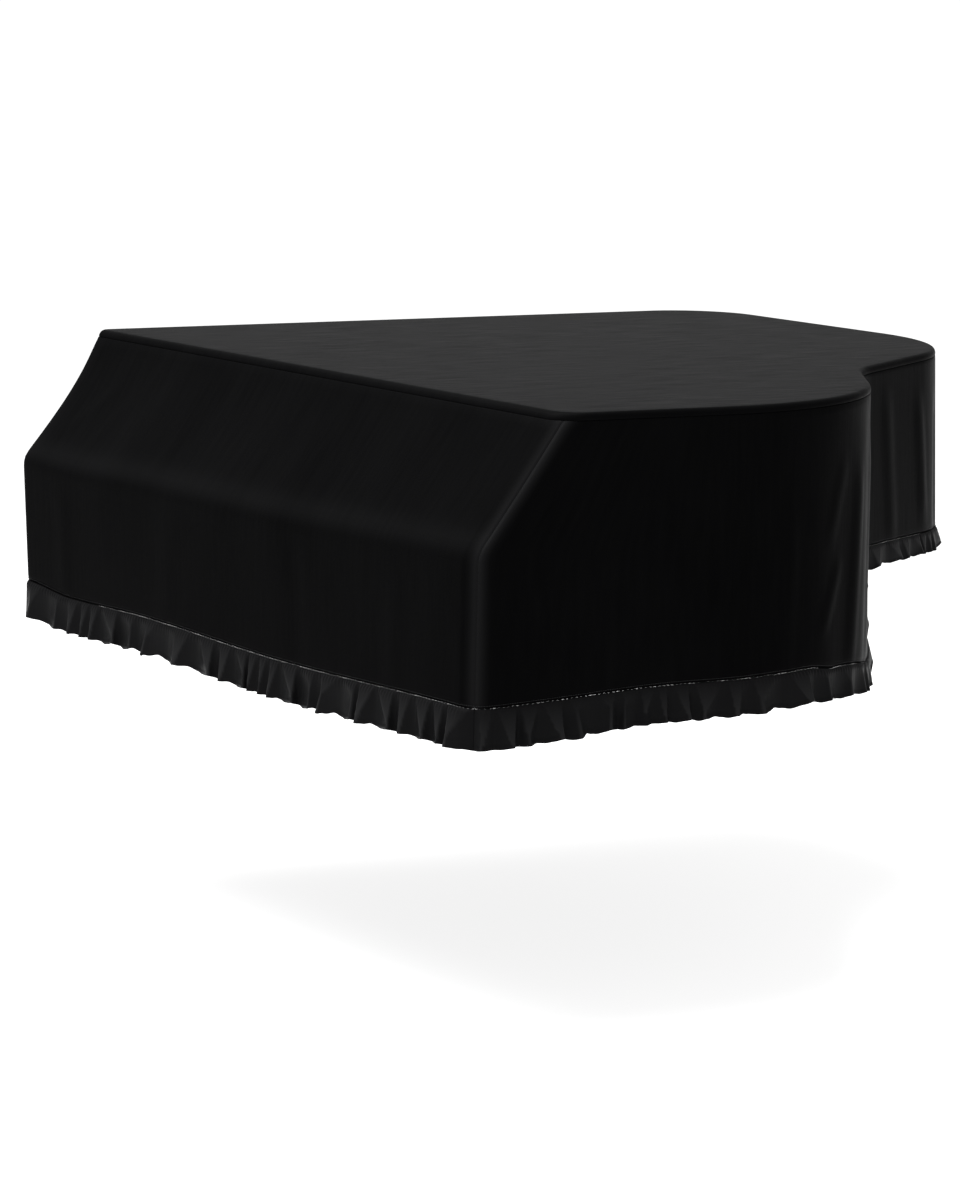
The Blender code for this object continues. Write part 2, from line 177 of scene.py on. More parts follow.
# ---- the ruffle's folds along each stretch of hem ----
# columns: width, how far its foot stands out where the ruffle is longest, lean of its foot, drop
# of its leading lip, and its pleat facet: share of the width at the seam, how far down it reaches,
# which side it narrows to (-1 towards the stretch's start, 1 towards its end)
FRONT_FOLDS = (
    (0.100, 0.016, 0.000, 0.003, 0.40, 0.55, -0.3),
    (0.075, 0.010, 0.004, 0.004, 0.25, 0.30, 0.0),
    (0.053, 0.016, 0.000, 0.004, 0.55, 0.95, 0.1),
    (0.037, 0.012, 0.002, 0.002, 0.60, 0.90, -0.4),
    (0.040, 0.013, 0.003, 0.002, 0.60, 1.00, -0.5),
    (0.073, 0.015, 0.012, 0.006, 0.75, 0.75, 0.8),
    (0.075, 0.011, 0.006, 0.007, 0.50, 0.40, 0.5),
    (0.102, 0.014, -0.008, 0.010, 0.35, 0.45, -0.8),
    (0.110, 0.018, 0.000, 0.007, 0.45, 1.00, -0.2),
    (0.068, 0.015, 0.012, 0.003, 0.70, 0.95, 0.7),
    (0.064, 0.014, 0.000, 0.005, 0.50, 1.10, 0.0),
    (0.046, 0.013, 0.012, 0.003, 0.80, 0.60, 0.7),
    (0.035, 0.011, 0.004, 0.002, 0.70, 0.90, -0.6),
    (0.035, 0.012, 0.002, 0.002, 0.60, 0.75, -0.2),
    (0.040, 0.012, 0.000, 0.003, 0.60, 1.00, -0.6),
    (0.060, 0.016, 0.014, 0.004, 0.75, 0.80, 0.8),
    (0.070, 0.012, 0.008, 0.006, 0.40, 0.40, 0.6),
    (0.070, 0.014, -0.010, 0.008, 0.75, 0.50, -0.6),
    (0.055, 0.013, 0.004, 0.004, 0.70, 0.35, 0.8),
    (0.055, 0.017, 0.000, 0.005, 0.80, 1.00, -0.6),
    (0.062, 0.015, 0.012, 0.003, 0.75, 0.80, 0.7),
    (0.058, 0.014, 0.002, 0.003, 0.50, 1.05, -0.1),
    (0.051, 0.015, 0.008, 0.003, 0.80, 0.90, 0.5),
    (0.044, 0.014, 0.006, 0.002, 0.60, 0.90, 0.6),
    (0.062, 0.014, 0.000, 0.002, 0.80, 0.75, -0.7),
)
TREBLE_FOLDS = (
    (0.030, 0.012, -0.002, 0.001, 0.60, 0.90, -0.3),
    (0.042, 0.015, 0.003, 0.002, 0.80, 1.00, 0.2),
    (0.038, 0.016, 0.006, 0.002, 0.80, 0.80, -0.7),
    (0.040, 0.014, 0.005, 0.003, 0.80, 1.00, 0.7),
    (0.050, 0.015, 0.010, 0.006, 0.60, 0.30, -0.5),
    (0.046, 0.012, -0.006, 0.003, 0.70, 0.35, 0.7),
    (0.038, 0.015, -0.007, 0.003, 0.60, 0.35, -0.6),
    (0.028, 0.010, 0.003, 0.001, 0.85, 0.65, -0.6),
    (0.026, 0.009, 0.003, 0.001, 0.60, 0.95, 0.3),
    (0.042, 0.014, 0.008, 0.004, 0.55, 0.95, 0.4),
    (0.054, 0.015, -0.008, 0.005, 0.85, 0.80, -0.2),
    (0.048, 0.013, 0.000, 0.004, 0.50, 1.05, 0.0),
    (0.072, 0.015, 0.010, 0.006, 0.70, 0.65, -0.7),
    (0.083, 0.014, 0.012, 0.007, 0.60, 1.00, 0.6),
    (0.073, 0.011, 0.004, 0.005, 0.30, 0.30, 0.0),
    (0.077, 0.013, -0.006, 0.004, 0.45, 0.50, 0.6),
    (0.069, 0.012, 0.002, 0.003, 0.40, 0.35, 0.0),
    (0.064, 0.010, 0.002, 0.003, 0.75, 0.70, -0.7),
    (0.060, 0.010, 0.003, 0.003, 0.60, 0.85, 0.3),
)
# columns: place across one fold, share of the lip's drop there
LIP_SHAPE = ((0.00, 0.0), (0.24, 1.0), (0.50, 0.2), (0.76, -1.0), (1.00, 0.0))
RUFFLE_STEP = 0.0024
RUFFLE_ROWS = 16
ROW_CROWDING = 1.15
# the rolled hem: the share of the ruffle's length where it starts, the shares of its own rows of
# points, its thickness in cloths, and the share of that which the rest of the ruffle has
ROLL_START = 0.9
ROLL_ROWS = (0.912, 0.985, 1.0)
ROLL_THICKNESS = 1.7
PLAIN_SHARE = 0.6
RUFFLE_FLARE = 0.004
RUFFLE_LONGEST = max(row[3] for row in HEM)
# powers that shape a fold: how it stands out downwards, falls into a valley, and drops its lip
STAND_CURVE = 0.8
VALLEY_CURVE = 1.6
LIP_CURVE = 1.5
# how much cloth lies in each length of hem, for the weave
GATHER = 1.4
# the puff under the seam, how far down it is full, and how much of it is gone at the foot
PUFF = 0.0030
PUFF_AT = 0.13
PUFF_FADE = 0.5
VALLEY_INSET = 0.003
PUCKER = 0.0007
PUCKER_LENGTH = 0.0085
PUCKER_ENDS = 0.30
# the puckers' unevenness: bumps to the metre, slice of the noise, strength in radians
WOBBLE_SCALE = 9
WOBBLE_SLICE = 3.0
WOBBLE = 6
# a pleat's facet has so much painted highlight at its foot, where its stand-out is over the share
FACET_HIGHLIGHT = 0.35
FACET_SHARE = 0.9

# ---- the pieces, and the folds of their ruffles ----
# columns: name, the corners that it runs between
PANELS = (
    ("front", "bass_front", "treble_front"),
    ("treble", "treble_front", "tail_treble"),
    ("tail", "tail_treble", "tail_bass"),
    ("bass", "tail_bass", "bass_front"),
)
RUFFLES = {
    "front": FRONT_FOLDS,
    "treble": TREBLE_FOLDS + FRONT_FOLDS[5:17],
    "tail": FRONT_FOLDS[11:24],
    "bass": FRONT_FOLDS[::-1],
}

# ---- painted highlights: where the cloth is painted lighter, standing in for light it catches ----
# columns: corner, half-width of the painted highlight band along its arris, strength
PAINTED_ARRIS_HIGHLIGHT = (
    ("bass_front", 0.008, 0.16),
    ("treble_front", 0.0125, 0.26),
    ("tail_bass", 0.014, 0.12),
)
# how far above the crease its painted light band lies, its half-width, strength
PAINTED_CREASE_LIGHT = (0.016, 0.020, 0.05)

# ---- stitches ----
STITCH_PITCH = 0.0042
STITCH_LENGTH = 0.0029
STITCH_RADIUS = 0.00028
STITCH_ABOVE_HEM = 0.0045
STITCH_SIDES = 6
# columns: place along the stitch, share of its radius, lift off the cloth in radii
STITCH_RINGS = ((-0.5, 0.45, -0.4), (-0.25, 1.0, 0.5), (0.25, 1.0, 0.5), (0.5, 0.45, -0.4))
# how far up from the hem, as a level, the wall is taken as straight for the stitches
STITCH_AIM = 0.02


# ======================= shape functions, as the CAD has them =======================
def arc(before, corner, after, radius):
    """The middle, first angle and turn of the arc that rounds one corner."""
    back = (before - corner).normalized()
    ahead = (after - corner).normalized()
    half = back.angle(ahead) / 2
    middle = corner + (back + ahead).normalized() * radius / math.sin(half)
    start = corner + back * radius / math.tan(half) - middle
    end = corner + ahead * radius / math.tan(half) - middle
    first = math.atan2(start.y, start.x)
    turn = math.atan2(start.cross(end), start.dot(end))
    return middle, first, turn


def key_reach(level, reach, crease, sag, tuck):
    """How far the front stands out before the lid's edge: a sagging slope, then a drop."""
    lead = level / crease
    before = level - crease + CREASE_SOFT
    if level >= crease + CREASE_SOFT:
        straight = 1.0
    elif before > 0:
        straight = lead - before**2 / (4 * CREASE_SOFT * crease)
    else:
        straight = lead
    hang = math.sin(math.pi * lead**0.85) if lead < 1 else 0.0
    below = max(lead - 1, 0.0) * crease / (1 - crease)
    return reach * straight - sag * hang - tuck * below


def plan_corners(level):
    """The walls' sharp corners at one level, 0 at the top and 1 at the hem, as 2-D points."""
    flat = [Vector((x, y)) for _, x, y, *_ in PLAN]
    middle = sum(flat, Vector((0.0, 0.0))) / len(flat)
    corners = []
    for (name, _, _, _, flare), point in zip(PLAN, flat):
        point = point + (point - middle).normalized() * flare * level
        if name in FRONT:
            point.y -= key_reach(level, *FRONT[name])
        corners.append(point)
    return corners


def outline(level, counts):
    """The walls' outline at one level, with its corners rounded, as 2-D points. counts holds
    each corner's number of pieces in its arc and in the run after it."""
    corners = plan_corners(level)
    arcs = []
    for i, row in enumerate(PLAN):
        middle, first, turn = arc(corners[i - 1], corners[i], corners[(i + 1) % len(PLAN)], row[3])
        pieces = counts[i][0]
        angles = [first + turn * k / pieces for k in range(pieces + 1)]
        arcs.append([middle + row[3] * Vector((math.cos(a), math.sin(a))) for a in angles])
    points = []
    for i in range(len(PLAN)):
        arrive = arcs[(i + 1) % len(PLAN)][0]
        run = counts[i][1]
        points += arcs[i]
        points += [arcs[i][-1].lerp(arrive, step / run) for step in range(1, run)]
    return points


def piece_counts():
    """For each corner, how many pieces its arc and the run after it have, from their lengths."""
    corners = plan_corners(0.0)
    ends = []
    for i, row in enumerate(PLAN):
        middle, first, turn = arc(corners[i - 1], corners[i], corners[(i + 1) % len(PLAN)], row[3])
        point = [middle + row[3] * Vector((math.cos(a), math.sin(a))) for a in (first, first + turn)]
        ends.append((abs(turn) * row[3], *point))
    counts = []
    for i, (bent, _, leave) in enumerate(ends):
        straight = (ends[(i + 1) % len(PLAN)][1] - leave).length
        counts.append((2 * max(4, round(bent / ARC_STEP / 2)), max(4, round(straight / RUN_STEP))))
    return counts


def hem_at(place):
    """(wall drop, ruffle length) at a place round the cover, eased between the table's rows."""
    rows = [(CORNERS.index(name) + share, drop, length) for name, share, drop, length in HEM]
    rows[-1] = (len(CORNERS), *rows[-1][1:])
    for (a, drop_a, length_a), (b, drop_b, length_b) in zip(rows, rows[1:]):
        if a <= place <= b:
            ease = (1 - math.cos(math.pi * (place - a) / (b - a))) / 2
            return drop_a + (drop_b - drop_a) * ease, length_a + (length_b - length_a) * ease
    return rows[0][1:]


def smooth(x):
    """0 up to 0 and 1 from 1 on, with an even ease between them."""
    x = min(max(x, 0.0), 1.0)
    return x * x * (3 - 2 * x)


class Cover:
    """The cover's outer surface, as columns round it and levels down it."""

    def __init__(self):
        self.counts = piece_counts()
        self.top = outline(0.0, self.counts)
        self.count = len(self.top)
        self.out = []
        for i in range(self.count):
            along = self.top[(i + 1) % self.count] - self.top[i - 1]
            self.out.append(Vector((along.y, -along.x)).normalized())
        self.middles, first = {}, 0
        for name, (pieces, run) in zip(CORNERS, self.counts):
            self.middles[name] = first + pieces // 2
            first += pieces + run
        self.measure()
        self.hems = [hem_at(place) for place in self.places]
        self.plans = {}
        self.lines = [self.line(row) for row in DRAG_FOLDS]

    def measure(self):
        """Each column's place round the cover, and its distance along the top's edge."""
        self.places, self.along = [0.0] * self.count, [0.0] * self.count
        self.spans = []
        gone = 0.0
        for number, name in enumerate(CORNERS):
            start = self.middles[name]
            span = (self.middles[CORNERS[(number + 1) % len(CORNERS)]] - start) % self.count
            marks = [0.0]
            for i in range(span):
                a, b = (start + i) % self.count, (start + i + 1) % self.count
                marks.append(marks[-1] + (self.top[b] - self.top[a]).length)
            for i in range(span):
                self.places[(start + i) % self.count] = number + marks[i] / marks[-1]
                self.along[(start + i) % self.count] = gone + marks[i]
            self.spans.append((gone, marks[-1]))
            gone += marks[-1]
        self.girth = gone

    def spot(self, corner, share, level):
        """A place on the wall laid flat: distance round the top's edge, and depth."""
        number = CORNERS.index(corner)
        gone, length = self.spans[number]
        return Vector((gone + share * length, level * hem_at((number + share) % len(CORNERS))[0]))

    def line(self, row):
        """A row of DRAG_FOLDS as its start, direction, length, half-width and height."""
        corner, share_a, level_a, share_b, level_b, half_width, height = row
        start, end = self.spot(corner, share_a, level_a), self.spot(corner, share_b, level_b)
        length = (end - start).length
        return start, (end - start) / length, length, half_width, height

    def drag(self, spot):
        """How far the drag folds push the wall out at a place on it laid flat."""
        push = 0.0
        for start, way, length, half_width, height in self.lines:
            off = spot - start
            across = abs(off.x * way.y - off.y * way.x)
            if across >= half_width:
                continue
            down = off.dot(way)
            soft = min(FOLD_END_SHARE * length, FOLD_END)
            ends = smooth((down + soft / 2) / soft) * smooth((length + soft / 2 - down) / soft)
            push += height * (1 + math.cos(math.pi * across / half_width)) / 2 * ends
        return push

    def fold(self, column, level):
        """How far the soft folds push the wall out at a column and level."""
        push = 0.0
        for name, share, half_width, depth, lean in SOFT_FOLDS:
            number = CORNERS.index(name)
            length = (Vector(PLAN[number][1:3]) - Vector(PLAN[(number + 1) % len(PLAN)][1:3])).length
            away = (self.places[column] - number - share) * length - lean * level
            if abs(away) < 2 * half_width:
                shape = (1 + math.cos(math.pi * away / (2 * half_width))) / 2
                push += depth * shape * math.sin(math.pi / 2 * level)
        return push

    def laid_flat(self, column, level):
        """The place of a column and level on the wall laid flat."""
        return Vector((self.along[column], level * self.hems[column][0]))

    def wall(self, column, level):
        """A point on the wall, before the top's edge is softened."""
        if level not in self.plans:
            self.plans[level] = outline(level, self.counts)
        drag = self.drag(self.laid_flat(column, level)) * smooth(level / DRAG_START)
        push = self.fold(column, level) + drag
        flat = self.plans[level][column] + self.out[column] * push
        return Vector((*flat, CLOTH - self.hems[column][0] * level))

    def below(self, column, depth):
        """A point on the wall, a depth in metres under its top. Near the top the wall is even."""
        level = depth / self.hems[column][0]
        if PLAIN_LEVEL not in self.plans:
            self.plans[PLAIN_LEVEL] = outline(PLAIN_LEVEL, self.counts)
        flat = self.top[column].lerp(self.plans[PLAIN_LEVEL][column], level / PLAIN_LEVEL)
        return Vector((*flat, CLOTH - depth))

    def edge(self, column, step):
        """A point on the soft edge between the top and a wall."""
        corner = self.below(column, 0.0)
        down = (self.below(column, TOP_RIM) - corner).normalized() * TOP_EDGE
        inward = Vector((*-self.out[column], 0.0)) * TOP_EDGE
        share = step / TOP_EDGE_STEPS
        return corner + inward * (1 - share) ** 2 + down * share**2

    def stretch(self, first, last):
        """The columns from the middle of one corner's arc to the middle of another's."""
        start = self.middles[first]
        span = (self.middles[last] - start) % self.count
        return [(start + i) % self.count for i in range(span + 1)]


# ======================= meshes =======================
def add_object(name, data):
    made = bpy.data.objects.new(name, data)
    bpy.context.scene.collection.objects.link(made)
    return made


def sheet_object(name, rows, coords, painted_light, look, closed=False):
    """A mesh from rows of points, uppermost first and running anticlockwise seen from above. Each
    point has a place on the flat cloth for the weave, and a share of painted highlight."""
    width = len(rows[0])
    points = [point for row in rows for point in row]
    faces = []
    for r in range(len(rows) - 1):
        for i in range(width if closed else width - 1):
            j = (i + 1) % width
            faces.append((r * width + i, (r + 1) * width + i, (r + 1) * width + j, r * width + j))
    mesh = bpy.data.meshes.new(name)
    mesh.from_pydata(points, [], faces)
    flat = [spot for row in coords for spot in row]
    layer = mesh.uv_layers.new(name="cloth")
    for loop in mesh.loops:
        layer.data[loop.index].uv = flat[loop.vertex_index]
    # the share of painted highlight goes into an attribute that the cloth's look reads
    highlight = mesh.attributes.new("painted_highlight", "FLOAT", "POINT")
    highlight.data.foreach_set("value", [share for row in painted_light for share in row])
    mesh.shade_smooth()
    mesh.materials.append(look)
    return add_object(name, mesh)


def thicken(sheet, thickness, offset, group=None, share=1.0):
    """Give a sheet its thickness, of which only the points in a group have more than a share."""
    solid = sheet.modifiers.new("cloth", "SOLIDIFY")
    solid.thickness = thickness
    solid.offset = offset
    solid.use_even_offset = False
    if group:
        solid.vertex_group = group
        solid.thickness_vertex_group = share


def curl(distance):
    """How far a cut edge turns in, at a distance from the seam along the cloth."""
    return CURL_IN * max(0.0, 1 - distance / CURL_REACH) ** 2


def crease_level(place):
    """The level of the front's crease between its two ends, or None away from the front."""
    if not 0 <= place <= 1:
        return None
    return FRONT["bass_front"][1] + (FRONT["treble_front"][1] - FRONT["bass_front"][1]) * place


def painted_highlight(cover, column, level):
    """The share of painted highlight at a point of a wall, along its arrises and above the crease.
    """
    place, share = cover.places[column], 0.0
    for name, half_width, strength in PAINTED_ARRIS_HIGHLIGHT:
        number = CORNERS.index(name)
        away = cover.along[column] - cover.spans[number][0]
        away = min(abs(away), cover.girth - abs(away))
        share = max(share, strength * math.exp(-((away / half_width) ** 2)))
    crease = crease_level(place)
    if crease is not None:
        above, soft, strength = PAINTED_CREASE_LIGHT
        off = (crease - level) * cover.hems[column][0] - above
        share += strength * math.exp(-((off / soft) ** 2))
    return min(share, 1.0)


def top_cloth(cover, look):
    """The top, as rings from its centre out, then over its soft edge to the seam."""
    rows, coords, painted_light = [], [], []
    centre = Vector(TOP_CENTRE)
    columns = range(cover.count)
    inner = [cover.edge(c, 0) for c in columns]
    for ring in range(TOP_RINGS):
        share = ((ring + RING_START) / TOP_RINGS) ** RING_CROWDING
        row = []
        for point in inner:
            flat = centre.lerp(point.to_2d(), share)
            bumps = noise.noise(Vector((*flat * SWELL_SCALE, SWELL_SLICE)))
            swell = bumps * (1 - share**SWELL_FADE) * TOP_SWELL
            row.append(Vector((*flat, point.z + swell)))
        rows.append(row)
    rows += [[cover.edge(c, step) for c in columns] for step in range(TOP_EDGE_STEPS + 1)]
    for depth in (TOP_RIM - CURL_ROW, TOP_RIM):
        row = []
        for c in columns:
            turn_in = Vector((*cover.out[c], 0.0)) * curl(TOP_RIM - depth)
            row.append(cover.below(c, depth) - turn_in)
        rows.append(row)
    for row in rows:
        coords.append([(p.x, p.y - (CLOTH - p.z)) for p in row])
        painted_light.append([0.0] * len(row))
    made = sheet_object("top_cloth", rows, coords, painted_light, look, closed=True)
    # the middle of the rings is one small face
    shape = bmesh.new()
    shape.from_mesh(made.data)
    shape.verts.ensure_lookup_table()
    shape.faces.new([shape.verts[i] for i in range(cover.count)])
    bmesh.ops.recalc_face_normals(shape, faces=shape.faces)
    layer = shape.loops.layers.uv["cloth"]
    for face in shape.faces:
        if len(face.verts) > 4:
            face.smooth = True
            for loop in face.loops:
                loop[layer].uv = (loop.vert.co.x, loop.vert.co.y)
    shape.to_mesh(made.data)
    shape.free()
    thicken(made, CLOTH, -1.0)
    return made


def wall_cloth(cover, name, first, last, look):
    """One wall, from the seam under the top down to the hem."""
    columns = cover.stretch(first, last)
    start = TOP_RIM + SEAM_GAP
    rows, coords, painted_light = [], [], []
    along = [cover.along[c] for c in columns]
    if along[-1] < along[0]:
        along[-1] += cover.girth
    for k in range(LEVEL_STEPS + 2):
        row, places, highlight = [], [], []
        for c, u in zip(columns, along):
            drop = cover.hems[c][0]
            if k == 0:
                depth = start
            elif k == 1:
                depth = start + CURL_ROW
            else:
                depth = drop * (PLAIN_LEVEL + (1 - PLAIN_LEVEL) * (k - 2) / (LEVEL_STEPS - 1))
            level = depth / drop
            if k < 2:
                point = cover.below(c, depth)
            else:
                # levels are shared by all columns, so that each outline is made once
                point = cover.wall(c, round(level, 6))
            side = min(u - along[0], along[-1] - u)
            turn_in = curl(depth - start) + curl(drop - depth) + SIDE_CURL * curl(side)
            row.append(point - Vector((*cover.out[c], 0.0)) * turn_in)
            places.append((u, -depth))
            # painted highlight along the arrises and just above the crease
            highlight.append(painted_highlight(cover, c, level))
        rows.append(row)
        coords.append(places)
        painted_light.append(highlight)
    made = sheet_object(name + "_cloth", rows, coords, painted_light, look)
    thicken(made, CLOTH, -1.0)
    return made


class Hem:
    """The seam line of one stretch of hem, measured along its length."""

    def __init__(self, cover, first, last):
        self.columns = cover.stretch(first, last)
        self.points = [cover.wall(c, 1.0) for c in self.columns]
        self.lengths = [cover.hems[c][1] for c in self.columns]
        self.marks = [0.0]
        for a, b in zip(self.points, self.points[1:]):
            self.marks.append(self.marks[-1] + (b - a).to_2d().length)
        self.outs = []
        for i in range(len(self.points)):
            before, after = self.points[max(i - 1, 0)], self.points[min(i + 1, len(self.points) - 1)]
            along = (after - before).to_2d().normalized()
            self.outs.append(Vector((along.y, -along.x)))
        # at a corner the two stretches look the same way
        self.outs[0], self.outs[-1] = cover.out[self.columns[0]], cover.out[self.columns[-1]]

    def at(self, distance):
        """(point on the seam, outward direction, ruffle length) at a distance along the hem."""
        distance = min(max(distance, 0.0), self.marks[-1])
        low, high = 0, len(self.marks) - 2
        while low < high:
            half = (low + high + 1) // 2
            if self.marks[half] <= distance:
                low = half
            else:
                high = half - 1
        share = (distance - self.marks[low]) / (self.marks[low + 1] - self.marks[low])
        here = self.points[low].lerp(self.points[low + 1], share)
        out = self.outs[low].lerp(self.outs[low + 1], share).normalized()
        length = self.lengths[low] + (self.lengths[low + 1] - self.lengths[low]) * share
        return here, out, length


def lip_drop(place):
    """The share of its lip's drop that a fold has at a place across it."""
    for (a, low), (b, high) in zip(LIP_SHAPE, LIP_SHAPE[1:]):
        if place <= b:
            return low + (high - low) * smooth((place - a) / (b - a))
    return 0.0


def pleat(across, down, facet, reach, side):
    """How much of a fold's stand-out a point has: the whole of it on the pleat's facet, which is
    widest at the seam and narrows to its reach, and less and less down into the valleys."""
    open_share = max(1 - down / reach, 0.0)
    centre = side * facet * min(down / reach, 1.0)
    half = facet * open_share
    off = abs(across - centre) - half
    if off <= 0:
        return 1.0
    room = (1 - centre if across > centre else 1 + centre) - half
    return (1 - min(off / max(room, 1e-6), 1.0)) ** VALLEY_CURVE


class Folds:
    """The folds of one ruffle, stretched to fill its length of hem."""

    def __init__(self, folds, length):
        stretch = length / sum(row[0] for row in folds)
        self.folds, begin = [], 0.0
        for width, *rest in folds:
            self.folds.append((begin, width * stretch, rest))
            begin += width * stretch

    def at(self, distance):
        """(place across the fold, its other columns) at a distance along the hem."""
        for begin, width, rest in self.folds:
            if distance <= begin + width:
                break
        return min((distance - begin) / width, 1.0), rest


def ruffle_cloth(cover, name, first, last, folds, look):
    """One ruffle, from the hem seam down to its rolled hem, fold by fold along the seam."""
    hem = Hem(cover, first, last)
    pleats = Folds(folds, hem.marks[-1])
    count = round(hem.marks[-1] / RUFFLE_STEP)
    spots = [hem.marks[-1] * i / count for i in range(count + 1)]
    downs = [(r / (RUFFLE_ROWS - 1)) ** ROW_CROWDING * ROLL_START for r in range(RUFFLE_ROWS)]
    downs += ROLL_ROWS
    rows, coords, painted_light = [], [], []
    for down in downs:
        row, places, highlight = [], [], []
        for spot in spots:
            place, (depth, lean, lip, facet, reach, side) = pleats.at(spot)
            here, _, length = hem.at(spot)
            scale = length / RUFFLE_LONGEST
            share = pleat(2 * place - 1, down, facet, reach, side)
            ridge_foot = pleat(2 * place - 1, 1.0, facet, reach, side)
            stand = depth * scale * share * down**STAND_CURVE
            inset = VALLEY_INSET * scale * (1 - share) * down
            puff = PUFF * scale * math.sin(math.pi / 2 * min(down / PUFF_AT, 1.0))
            puff *= 1 - PUFF_FADE * down
            wobble = noise.noise(Vector((spot * WOBBLE_SCALE, down, WOBBLE_SLICE))) * WOBBLE
            pucker = PUCKER * math.cos(2 * math.pi * spot / PUCKER_LENGTH + wobble)
            pucker *= smooth(1 - down / PUCKER_ENDS)
            seam, out, _ = hem.at(spot + lean * ridge_foot * down)
            off = stand - inset + puff + pucker + RUFFLE_FLARE * down - CLOTH / 2
            flat = seam.to_2d() + out * off
            rise = (stand + RUFFLE_FLARE * down) ** 2 / (2 * length)
            drop = length * down - rise + lip * lip_drop(place) / 2 * down**LIP_CURVE
            row.append(Vector((*flat, here.z - SEAM_GAP - drop)))
            places.append((spot * GATHER, -length * down))
            # painted highlight on the pleat facets, growing towards their feet
            highlight.append(FACET_HIGHLIGHT * share * down if share > FACET_SHARE else 0.0)
        rows.append(row)
        coords.append(places)
        painted_light.append(highlight)
    made = sheet_object(name + "_frill", rows, coords, painted_light, look)
    width = len(spots)
    roll = made.vertex_groups.new(name="roll")
    rolled = range((len(downs) - len(ROLL_ROWS)) * width, len(downs) * width)
    roll.add(list(rolled), 1.0, "REPLACE")
    thicken(made, RUFFLE_CLOTH * ROLL_THICKNESS, 0.0, "roll", PLAIN_SHARE)
    return made


def stitch_row(name, line, outs, look):
    """A row of stitches along a line of points on a cloth."""
    marks = [0.0]
    for a, b in zip(line, line[1:]):
        marks.append(marks[-1] + (b - a).length)
    made = bmesh.new()
    count = int(marks[-1] / STITCH_PITCH)
    k = 0
    for n in range(count):
        centre = (n + 0.5) * marks[-1] / count
        while k < len(marks) - 2 and marks[k + 1] < centre:
            k += 1
        share = (centre - marks[k]) / (marks[k + 1] - marks[k])
        point, out = line[k].lerp(line[k + 1], share), outs[k].lerp(outs[k + 1], share).normalized()
        way = (line[k + 1] - line[k]).normalized()
        third = way.cross(out).normalized()
        rings = []
        for place, size, lift in STITCH_RINGS:
            centre_here = point + way * place * STITCH_LENGTH + out * lift * STITCH_RADIUS
            ring = []
            for s in range(STITCH_SIDES):
                angle = 2 * math.pi * s / STITCH_SIDES
                arm = (out * math.cos(angle) + third * math.sin(angle)) * STITCH_RADIUS * size
                ring.append(made.verts.new(centre_here + arm))
            rings.append(ring)
        for low, high in zip(rings, rings[1:]):
            for s in range(STITCH_SIDES):
                beside = (s + 1) % STITCH_SIDES
                made.faces.new((low[s], low[beside], high[beside], high[s]))
        made.faces.new(rings[0][::-1])
        made.faces.new(rings[-1])
    bmesh.ops.recalc_face_normals(made, faces=made.faces)
    mesh = bpy.data.meshes.new(name)
    made.to_mesh(mesh)
    made.free()
    mesh.shade_smooth()
    mesh.materials.append(look)
    return add_object(name, mesh)


def hem_stitches(cover, name, first, last, look):
    """The row of stitches over one wall's hem seam."""
    line, outs = [], []
    for c in cover.stretch(first, last):
        low, high = cover.wall(c, 1.0), cover.wall(c, 1 - STITCH_AIM)
        line.append(low.lerp(high, STITCH_ABOVE_HEM / cover.hems[c][0] / STITCH_AIM))
        outs.append(Vector((*cover.out[c], 0.0)))
    return stitch_row(name + "_hem_stitches", line, outs, look)


# ======================= materials =======================
class Nodes:
    """A short way to write a material's nodes."""

    def __init__(self, name):
        self.material = bpy.data.materials.new(name)
        self.material.use_nodes = True
        self.tree = self.material.node_tree
        self.shader = self.tree.nodes["Principled BSDF"]

    def add(self, kind, links=(), **settings):
        node = self.tree.nodes.new(kind)
        for key, value in settings.items():
            setattr(node, key, value)
        for socket, value in dict(links).items():
            self.set(node, socket, value)
        return node

    def set(self, node, socket, value):
        if isinstance(value, bpy.types.NodeSocket):
            self.tree.links.new(value, node.inputs[socket])
        else:
            node.inputs[socket].default_value = value

    def maths(self, operation, a, b):
        return self.add("ShaderNodeMath", {0: a, 1: b}, operation=operation).outputs[0]

    def ranged(self, value, low, high, to_low, to_high):
        node = self.add(
            "ShaderNodeMapRange",
            {"Value": value, "From Min": low, "From Max": high, "To Min": to_low, "To Max": to_high},
        )
        return node.outputs["Result"]

    def noise(self, vector, scale, detail=2.0, rough=0.5):
        node = self.add(
            "ShaderNodeTexNoise",
            {"Vector": vector, "Scale": scale, "Detail": detail, "Roughness": rough},
        )
        return node.outputs["Fac"]

    def blend(self, share, dark, light):
        """A colour between two. The Mix node's colour sockets go by number."""
        links = {0: share, 6: (*dark, 1.0), 7: (*light, 1.0)}
        return self.add("ShaderNodeMix", links, data_type="RGBA").outputs[2]

    def stretched(self, vector, scale):
        return self.add("ShaderNodeMapping", {"Vector": vector, "Scale": scale}).outputs["Vector"]


